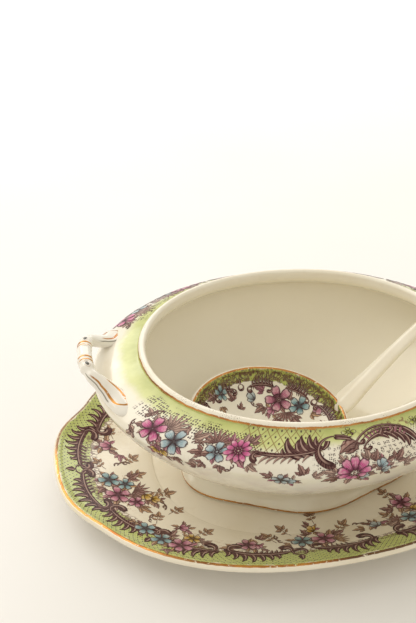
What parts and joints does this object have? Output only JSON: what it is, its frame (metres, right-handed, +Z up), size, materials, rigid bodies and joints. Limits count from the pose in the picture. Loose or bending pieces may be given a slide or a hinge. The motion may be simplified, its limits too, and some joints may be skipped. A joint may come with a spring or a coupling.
{
  "type": "soup tureen",
  "caption": "Oval footed soup tureen with a waisted shoulder and end handles, standing on an oval stand with a ladle lying in the bowl.",
  "frame": {"origin": "centre of the whole part's footprint, at the level of the stand's foot ring", "axes": "+X along the ovals towards the ladle's handle, +Y to the back, +Z up"},
  "size_m": [0.2996, 0.2172, 0.1232],
  "materials": {
    "stand_glaze": "clear glaze over ivory earthenware with printed green border, scrolls and flower sprays, gilt line inside the edge",
    "tureen_glaze": "clear glaze over ivory earthenware with printed green band, lattice, scrolls and flowers, gilt line under the lip and round the foot",
    "handle_glaze": "clear glaze over ivory earthenware, picked out in gilt",
    "ladle_glaze": "clear glaze over ivory earthenware, printed inside the bowl"
  },
  "bodies": {
    "stand": {"stand": "stand_glaze"},
    "tureen": {"tureen_bowl": "tureen_glaze", "tureen_foot": "tureen_glaze", "left_handle": "handle_glaze", "right_handle": "handle_glaze"},
    "ladle": {"ladle_bowl": "ladle_glaze", "ladle_handle": "ladle_glaze"}
  },
  "joints": [
    {"name": "tureen_lift", "type": "slide", "parent": "stand", "child": "tureen", "axis": [0, 0, 1], "range_m": [0, 0.15]},
    {"name": "ladle_lift", "type": "slide", "parent": "tureen", "child": "ladle", "axis": [0, 0, 1], "range_m": [0, 0.2]}
  ]
}
